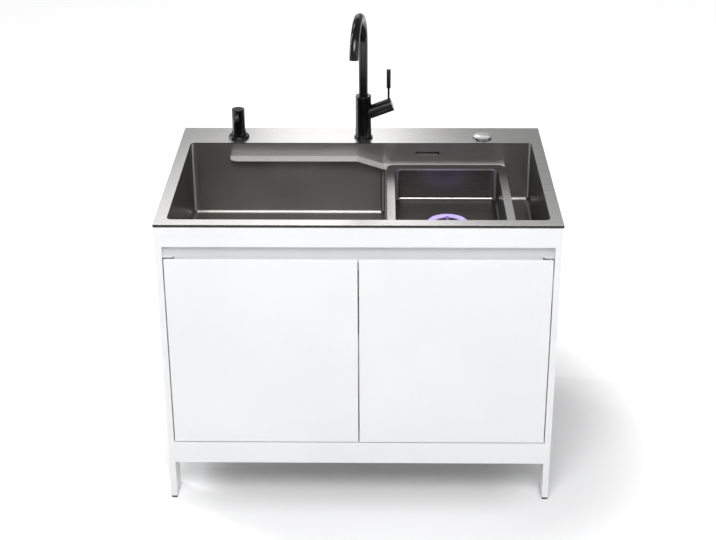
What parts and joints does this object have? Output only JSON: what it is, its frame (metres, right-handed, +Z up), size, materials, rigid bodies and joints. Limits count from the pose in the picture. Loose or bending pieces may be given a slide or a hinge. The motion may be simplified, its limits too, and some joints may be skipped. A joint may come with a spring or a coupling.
{
  "type": "kitchen sink unit",
  "caption": "Free-standing white kitchen sink cabinet with inset doors, large dark steel bowl, loose pan with lit ring, gooseneck mixer, soap pump and drain knob.",
  "frame": {"origin": "on the floor, centre of the footprint under the unit", "axes": "+Z up, front with the doors towards -Y, +X to the viewer's right"},
  "size_m": [1, 0.65, 1.1822],
  "materials": {
    "white_board": "satin white lacquer on board",
    "white_channel": "satin white coating",
    "dark_rubber": "matt",
    "clear_rubber": "soft translucent",
    "zinc_steel": "plated",
    "brushed_top": "fine brushed along the width",
    "dark_bowl_steel": "dark coated, fine brushed",
    "drain_steel": "satin",
    "black_plastic": "matt moulded",
    "violet_glow": "lit translucent lens",
    "dark_grate": "satin, lit from the ring",
    "white_plastic": "moulded",
    "satin_black": "satin black coating on brass",
    "brass": "machined",
    "bright_chrome": "polished"
  },
  "bodies": {
    "unit": {"left_side_panel": "white_board", "right_side_panel": "white_board", "leg_pads": "dark_rubber", "top_front_rail": "white_board", "bottom_front_rail": "white_board", "bottom_panel": "white_board", "lower_back_rail": "white_board", "upper_back_rail": "white_board", "finger_channel": "white_channel", "door_bumpers": "clear_rubber", "left_hinge_arms": "zinc_steel", "right_hinge_arms": "zinc_steel", "sink_deck": "brushed_top", "bowl_left_wall": "dark_bowl_steel", "bowl_right_wall": "dark_bowl_steel", "bowl_front_wall": "dark_bowl_steel", "bowl_rear_wall": "dark_bowl_steel", "left_bowl_floor": "dark_bowl_steel", "right_bowl_floor": "dark_bowl_steel", "bowl_divider": "dark_bowl_steel", "rear_ledge": "dark_bowl_steel", "front_ledge": "dark_bowl_steel", "left_drain_body": "drain_steel", "right_drain_body": "drain_steel", "drain_nuts": "black_plastic", "light_ring": "violet_glow", "cross_grate": "dark_grate", "overflow_box": "zinc_steel", "overflow_pipe": "white_plastic", "left_waste_pipe": "white_plastic", "right_waste_pipe": "white_plastic", "trap_body": "white_plastic", "trap_cup": "white_plastic", "outlet_pipe": "white_plastic", "pipe_nuts": "black_plastic", "faucet_base_ring": "satin_black", "faucet_body": "satin_black", "faucet_shank": "brass", "deck_nuts": "black_plastic", "faucet_inlets": "brass", "cartridge": "black_plastic", "soap_base": "satin_black", "soap_bottle": "white_plastic", "knob_base": "bright_chrome"},
    "left_door": {"left_door": "white_board", "left_hinge_cups": "zinc_steel"},
    "right_door": {"right_door": "white_board", "right_hinge_cups": "zinc_steel"},
    "spout": {"spout": "satin_black", "aerator": "bright_chrome"},
    "handle_cap": {"handle_cap": "satin_black", "lever_carrier": "brass"},
    "lever": {"lever": "satin_black"},
    "soap_collar": {"soap_collar": "satin_black"},
    "soap_head": {"soap_head": "satin_black"},
    "drain_knob": {"knob_disc": "bright_chrome"},
    "drain_lifter": {"drain_lifter": "zinc_steel"},
    "strainer_basket": {"strainer_basket": "drain_steel"},
    "drain_pan": {"drain_pan": "dark_bowl_steel"}
  },
  "joints": [
    {"name": "left_door_hinge", "type": "hinge", "parent": "unit", "child": "left_door", "pos_m": [-0.467, -0.315, 0.35], "axis": [0, 0, -1], "range_deg": [0, 95]},
    {"name": "right_door_hinge", "type": "hinge", "parent": "unit", "child": "right_door", "pos_m": [0.467, -0.315, 0.35], "axis": [0, 0, 1], "range_deg": [0, 95]},
    {"name": "spout_swivel", "type": "hinge", "parent": "unit", "child": "spout", "pos_m": [0.007, 0.253, 0.92], "axis": [0, 0, 1], "range_deg": [-50, 60]},
    {"name": "handle_turn", "type": "hinge", "parent": "unit", "child": "handle_cap", "pos_m": [0.007, 0.253, 0.868], "axis": [0.9336, 0, 0.3584], "range_deg": [-30, 30]},
    {"name": "lever_lift", "type": "hinge", "parent": "handle_cap", "child": "lever", "pos_m": [0.0765, 0.253, 0.89468], "axis": [0, 1, 0], "range_deg": [0, 15]},
    {"name": "soap_swivel", "type": "hinge", "parent": "unit", "child": "soap_collar", "pos_m": [-0.34, 0.253, 0.81], "axis": [0, 0, 1], "range_deg": [-90, 90]},
    {"name": "soap_press", "type": "slide", "parent": "soap_collar", "child": "soap_head", "axis": [0, 0, -1], "range_m": [0, 0.012], "stiffness_N_per_m": 250, "springref_m": -0.04},
    {"name": "knob_press", "type": "slide", "parent": "unit", "child": "drain_knob", "axis": [0, 0, -1], "range_m": [0, 0.003]},
    {"name": "drain_lift", "type": "slide", "parent": "unit", "child": "drain_lifter", "axis": [0, 0, 1], "range_m": [0, 0.008]},
    {"name": "basket_lift_out", "type": "slide", "parent": "drain_lifter", "child": "strainer_basket", "axis": [0, 0, 1], "range_m": [0, 0.15]},
    {"name": "pan_lift_out", "type": "slide", "parent": "unit", "child": "drain_pan", "axis": [0, 0, 1], "range_m": [0, 0.2]}
  ],
  "couplings": [
    {"joint": "drain_lift", "follows": "knob_press", "ratio": 2.6666}
  ]
}
